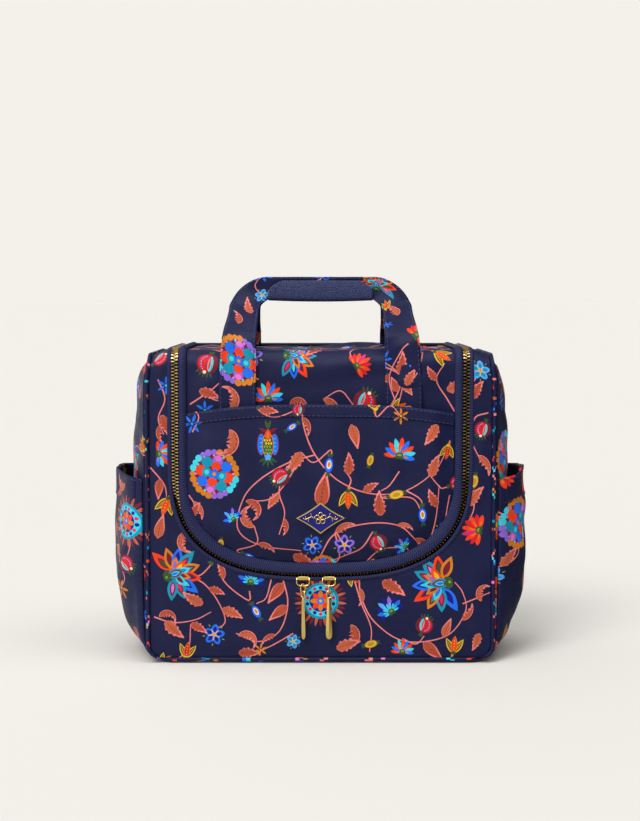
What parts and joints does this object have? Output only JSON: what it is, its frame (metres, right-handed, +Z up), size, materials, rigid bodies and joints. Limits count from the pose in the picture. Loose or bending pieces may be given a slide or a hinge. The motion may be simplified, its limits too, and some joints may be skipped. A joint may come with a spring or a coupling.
{
  "type": "toiletry bag",
  "caption": "Boxy padded fabric toiletry bag with a wrap-over zipped front lid, arched carrying handles, side pockets, a front slip pocket and a fold-out hanging hook.",
  "frame": {"origin": "centre of the base, on the surface the bag stands on", "axes": "+X to the right of someone facing the front, -Y out of the front, +Z up"},
  "size_m": [0.3124, 0.1284, 0.2846],
  "materials": {
    "back_panel": "navy twill printed with a bright trailing floral",
    "base_binding": "woven navy tape",
    "base_board": "stiff sheet",
    "bottom_panel": "navy twill printed with a bright trailing floral",
    "case_lining": "plain lining cloth",
    "case_zip_tape": "woven navy tape",
    "case_zip_teeth": "antique brass teeth",
    "emblem_enamel": "glossy royal-blue enamel",
    "emblem_plate": "polished pale gold plating",
    "front_frame": "navy twill printed with a bright trailing floral",
    "front_handle_strap": "navy twill printed with a bright trailing floral",
    "front_piping_left": "woven navy tape",
    "front_piping_right": "woven navy tape",
    "front_pocket": "navy twill printed with a bright trailing floral",
    "front_pocket_hem": "navy twill printed with a bright trailing floral",
    "front_strap_end_left": "navy twill printed with a bright trailing floral",
    "front_strap_end_right": "navy twill printed with a bright trailing floral",
    "grip_wrap": "pebbled navy leather, satin",
    "hanging_hook": "smooth",
    "hook_tab": "woven navy tape",
    "lid_lining": "plain lining cloth",
    "lid_panel": "navy twill printed with a bright trailing floral",
    "lid_zip_tape": "woven navy tape",
    "lid_zip_teeth": "antique brass teeth",
    "mesh_pocket": "plain lining cloth",
    "mesh_pocket_elastic": "woven navy tape",
    "pull_bar_left": "pale gold plating",
    "pull_bar_right": "pale gold plating",
    "pull_link_left": "pale gold plating",
    "pull_link_right": "pale gold plating",
    "rear_handle_strap": "navy twill printed with a bright trailing floral",
    "rear_piping_left": "woven navy tape",
    "rear_piping_right": "woven navy tape",
    "rear_strap_end_left": "navy twill printed with a bright trailing floral",
    "rear_strap_end_right": "navy twill printed with a bright trailing floral",
    "side_panel_left": "navy twill printed with a bright trailing floral",
    "side_panel_right": "navy twill printed with a bright trailing floral",
    "side_pocket_hem_left": "navy twill printed with a bright trailing floral",
    "side_pocket_hem_right": "navy twill printed with a bright trailing floral",
    "side_pocket_left": "navy twill printed with a bright trailing floral",
    "side_pocket_right": "navy twill printed with a bright trailing floral",
    "slider_left": "pale gold plating",
    "slider_loop_left": "pale gold plating",
    "slider_loop_right": "pale gold plating",
    "slider_right": "pale gold plating",
    "zip_end_tab_left": "woven navy tape",
    "zip_end_tab_right": "woven navy tape"
  },
  "bodies": {
    "case": {"bottom_panel": "bottom_panel", "base_board": "base_board", "base_binding": "base_binding", "back_panel": "back_panel", "side_panel_left": "side_panel_left", "side_panel_right": "side_panel_right", "front_frame": "front_frame", "case_lining": "case_lining", "case_zip_tape": "case_zip_tape", "case_zip_teeth": "case_zip_teeth", "zip_end_tab_left": "zip_end_tab_left", "zip_end_tab_right": "zip_end_tab_right", "front_piping_left": "front_piping_left", "front_piping_right": "front_piping_right", "rear_piping_left": "rear_piping_left", "rear_piping_right": "rear_piping_right", "side_pocket_left": "side_pocket_left", "side_pocket_right": "side_pocket_right", "side_pocket_hem_left": "side_pocket_hem_left", "side_pocket_hem_right": "side_pocket_hem_right", "rear_strap_end_left": "rear_strap_end_left", "rear_strap_end_right": "rear_strap_end_right", "mesh_pocket": "mesh_pocket", "mesh_pocket_elastic": "mesh_pocket_elastic"},
    "lid": {"lid_panel": "lid_panel", "lid_lining": "lid_lining", "lid_zip_tape": "lid_zip_tape", "lid_zip_teeth": "lid_zip_teeth", "front_pocket": "front_pocket", "front_pocket_hem": "front_pocket_hem", "emblem_plate": "emblem_plate", "emblem_enamel": "emblem_enamel", "front_strap_end_left": "front_strap_end_left", "front_strap_end_right": "front_strap_end_right", "hook_tab": "hook_tab"},
    "front_handle": {"front_handle_strap": "front_handle_strap", "grip_wrap": "grip_wrap"},
    "rear_handle": {"rear_handle_strap": "rear_handle_strap"},
    "hook": {"hanging_hook": "hanging_hook"},
    "slider_body_left": {"slider_left": "slider_left", "slider_loop_left": "slider_loop_left"},
    "link_body_left": {"pull_link_left": "pull_link_left"},
    "puller_body_left": {"pull_bar_left": "pull_bar_left"},
    "slider_body_right": {"slider_right": "slider_right", "slider_loop_right": "slider_loop_right"},
    "link_body_right": {"pull_link_right": "pull_link_right"},
    "puller_body_right": {"pull_bar_right": "pull_bar_right"}
  },
  "joints": [
    {"name": "lid_hinge", "type": "hinge", "parent": "case", "child": "lid", "pos_m": [0, 0.0578, 0.2302], "axis": [-1, 0, 0], "range_deg": [0, 180]},
    {"name": "rear_handle_hinge", "type": "hinge", "parent": "case", "child": "rear_handle", "pos_m": [0, 0.0578, 0.2302], "axis": [-1, 0, 0], "range_deg": [0, 180]},
    {"name": "front_handle_hinge", "type": "hinge", "parent": "lid", "child": "front_handle", "pos_m": [0, -0.0605, 0.217], "axis": [1, 0, 0], "range_deg": [0, 180]},
    {"name": "hook_hinge", "type": "hinge", "parent": "lid", "child": "hook", "pos_m": [0, 0.04, 0.217], "axis": [-1, 0, 0], "range_deg": [0, 80]},
    {"name": "slider_travel_left", "type": "slide", "parent": "case", "child": "slider_body_left", "axis": [-0.994, 0, 0.1093], "range_m": [0, 0.04]},
    {"name": "link_hinge_left", "type": "hinge", "parent": "slider_body_left", "child": "link_body_left", "pos_m": [-0.0127, -0.0631, 0.0579], "axis": [-1, 0, 0], "range_deg": [0, 60]},
    {"name": "puller_hinge_left", "type": "hinge", "parent": "link_body_left", "child": "puller_body_left", "pos_m": [-0.0127, -0.0631, 0.0541], "axis": [-0.7071, 0.7071, 0], "range_deg": [0, 55]},
    {"name": "slider_travel_right", "type": "slide", "parent": "case", "child": "slider_body_right", "axis": [0.994, 0, 0.1093], "range_m": [0, 0.04]},
    {"name": "link_hinge_right", "type": "hinge", "parent": "slider_body_right", "child": "link_body_right", "pos_m": [0.0062, -0.0631, 0.0579], "axis": [-1, 0, 0], "range_deg": [0, 60]},
    {"name": "puller_hinge_right", "type": "hinge", "parent": "link_body_right", "child": "puller_body_right", "pos_m": [0.0062, -0.0631, 0.0541], "axis": [-1, 0, 0], "range_deg": [0, 55]}
  ],
  "couplings": [
    {"joint": "rear_handle_hinge", "follows": "lid_hinge", "ratio": 1}
  ]
}
